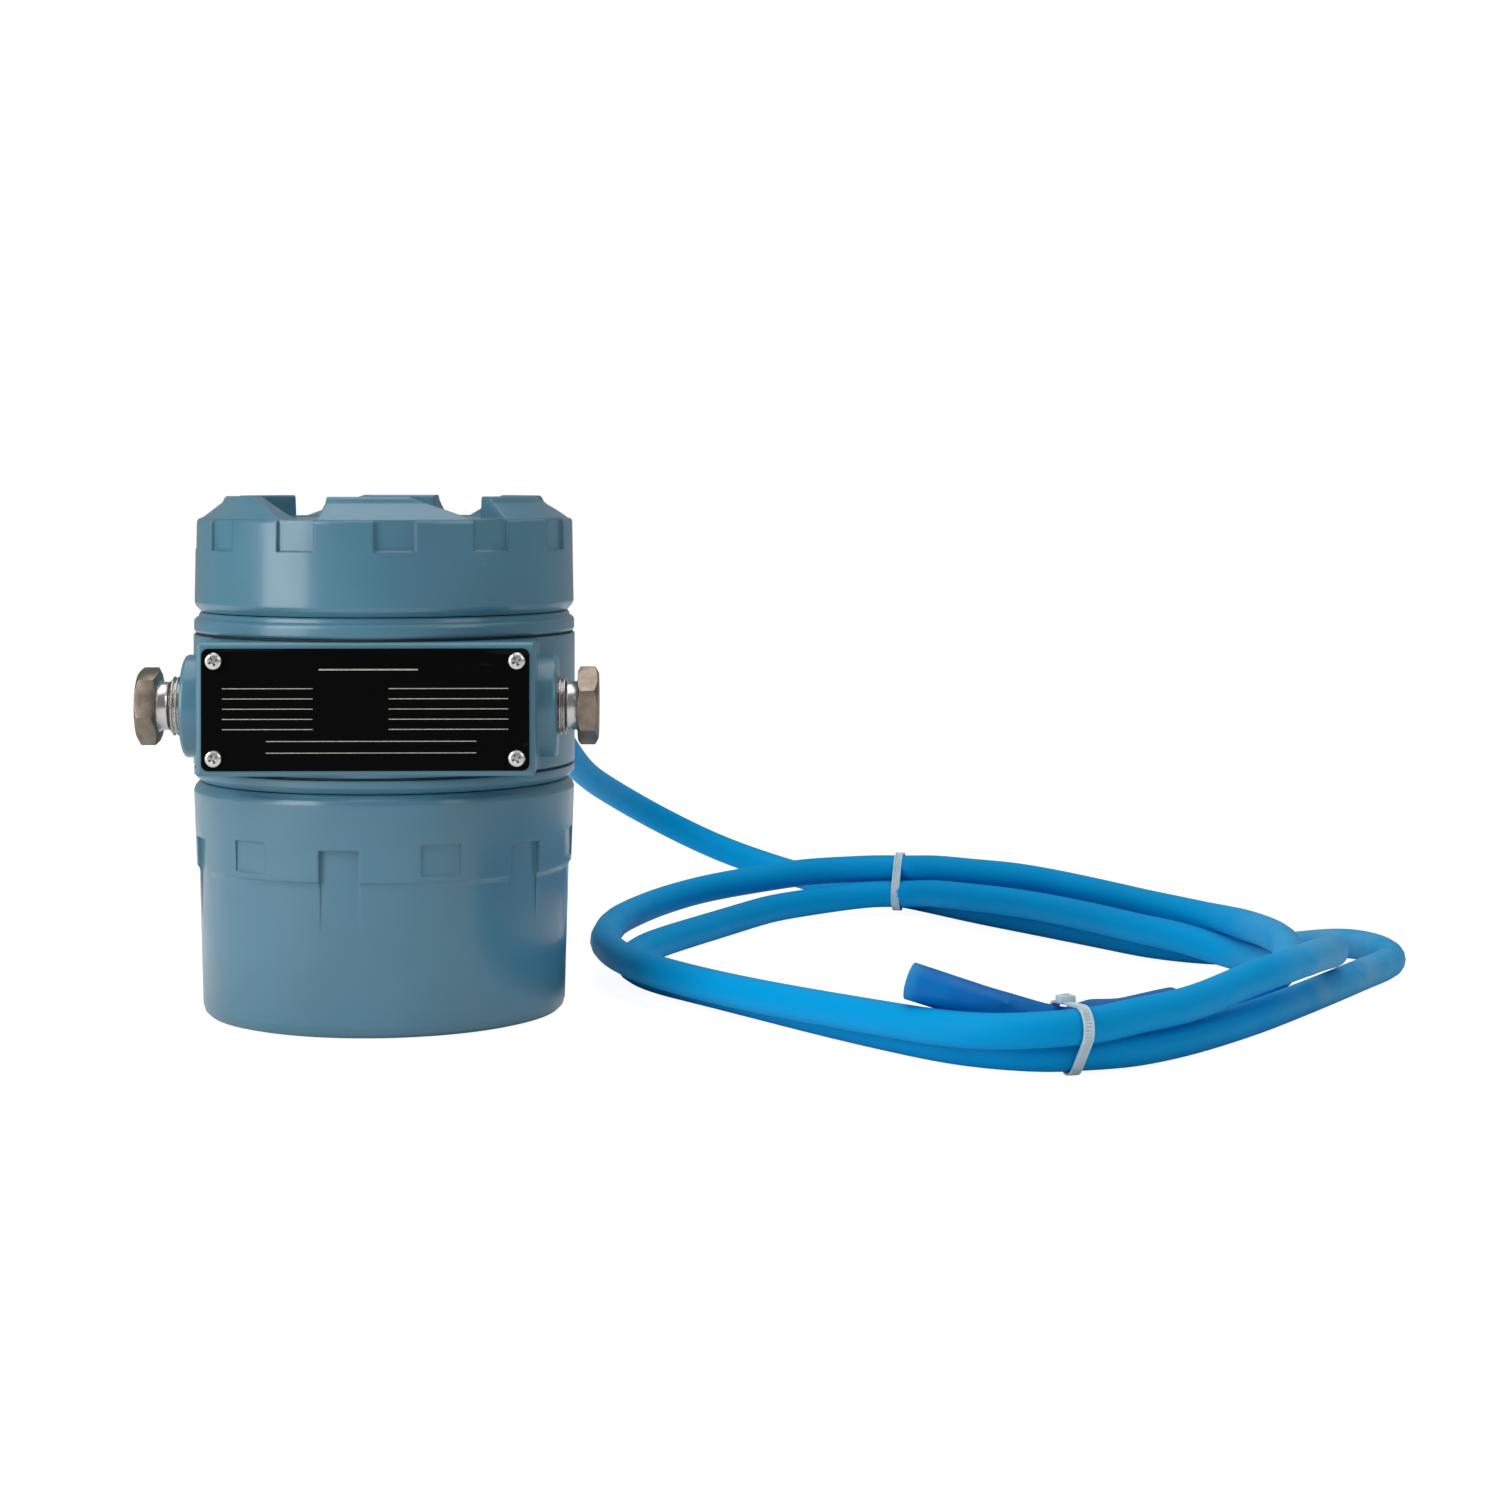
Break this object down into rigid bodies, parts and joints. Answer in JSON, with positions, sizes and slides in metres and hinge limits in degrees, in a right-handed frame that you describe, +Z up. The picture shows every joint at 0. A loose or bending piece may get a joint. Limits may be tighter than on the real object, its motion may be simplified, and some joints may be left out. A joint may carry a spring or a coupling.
{
  "type": "flow meter transmitter",
  "caption": "Flameproof remote transmitter housing of a coriolis mass flow meter, with screwed castellated covers, blanked conduit entries, a bare nameplate and a coiled signal cable.",
  "frame": {"origin": "middle of the round base, on the floor, under the housing's axis", "axes": "+Z up along the housing's axis, the nameplate faces -Y, +X to the right seen from the front"},
  "size_m": [0.4731, 0.4537, 0.1874],
  "materials": {
    "blue_paint": "greyed teal-blue enamel, satin to gloss, over cast aluminium",
    "seal_rubber": "matt black",
    "black_plate": "black anodised plate, satin",
    "bright_screw": "bright nickel plate",
    "plug_steel": "weathered stainless steel, brownish",
    "gland_metal": "nickel-plated brass, satin",
    "cable_jacket": "azure jacket, dull sheen",
    "sleeve_plastic": "limp dark blue sleeve, creased",
    "tie_nylon": "translucent pale nylon",
    "feed_resin": "cast resin",
    "post_brass": "plain",
    "board_green": "solder mask",
    "terminal_plastic": "moulded",
    "coil_tape": "yellow tape",
    "can_sleeve": "shrunk sleeve",
    "chip_black": "moulded"
  },
  "bodies": {
    "housing": {"housing_body": "blue_paint", "upper_weather_ring": "seal_rubber", "lower_weather_ring": "seal_rubber", "nameplate": "black_plate", "nameplate_screw_1": "bright_screw", "nameplate_screw_2": "bright_screw", "nameplate_screw_3": "bright_screw", "nameplate_screw_4": "bright_screw", "left_plug": "plug_steel", "right_plug": "plug_steel", "gland_body": "gland_metal", "gland_seal": "seal_rubber", "gland_nut": "gland_metal", "signal_cable": "cable_jacket", "cable_end_sleeve": "sleeve_plastic", "rear_cable_tie": "tie_nylon", "front_cable_tie": "tie_nylon", "feedthrough": "feed_resin", "earth_screw": "bright_screw", "terminal_standoffs": "post_brass", "terminal_board": "board_green", "terminal_block": "terminal_plastic", "terminal_screws": "bright_screw", "terminal_board_screws": "bright_screw", "board_standoffs": "post_brass", "power_board": "board_green", "board_spacers": "post_brass", "main_board": "board_green", "board_screws": "bright_screw", "transformer": "coil_tape", "capacitors": "can_sleeve", "processor_module": "chip_black"},
    "top_seal": {"top_cover_seal": "seal_rubber"},
    "top_cover": {"top_cover": "blue_paint"},
    "bottom_seal": {"bottom_cover_seal": "seal_rubber"},
    "bottom_cover": {"bottom_cover": "blue_paint"}
  },
  "joints": [
    {"name": "top_cover_rise", "type": "slide", "parent": "housing", "child": "top_seal", "axis": [0, 0, 1], "range_m": [0, 0.012]},
    {"name": "top_cover_turn", "type": "hinge", "parent": "top_seal", "child": "top_cover", "pos_m": [0, 0, 0.16], "axis": [0, 0, 1], "range_deg": [0, 2160]},
    {"name": "bottom_cover_drop", "type": "slide", "parent": "housing", "child": "bottom_seal", "axis": [0, 0, -1], "range_m": [0, 0.012]},
    {"name": "bottom_cover_turn", "type": "hinge", "parent": "bottom_seal", "child": "bottom_cover", "pos_m": [0, 0, 0.05], "axis": [0, 0, -1], "range_deg": [0, 2160]}
  ],
  "couplings": [
    {"joint": "top_cover_rise", "follows": "top_cover_turn", "m_per_rad": 0.00031831},
    {"joint": "bottom_cover_drop", "follows": "bottom_cover_turn", "m_per_rad": 0.00031831}
  ]
}
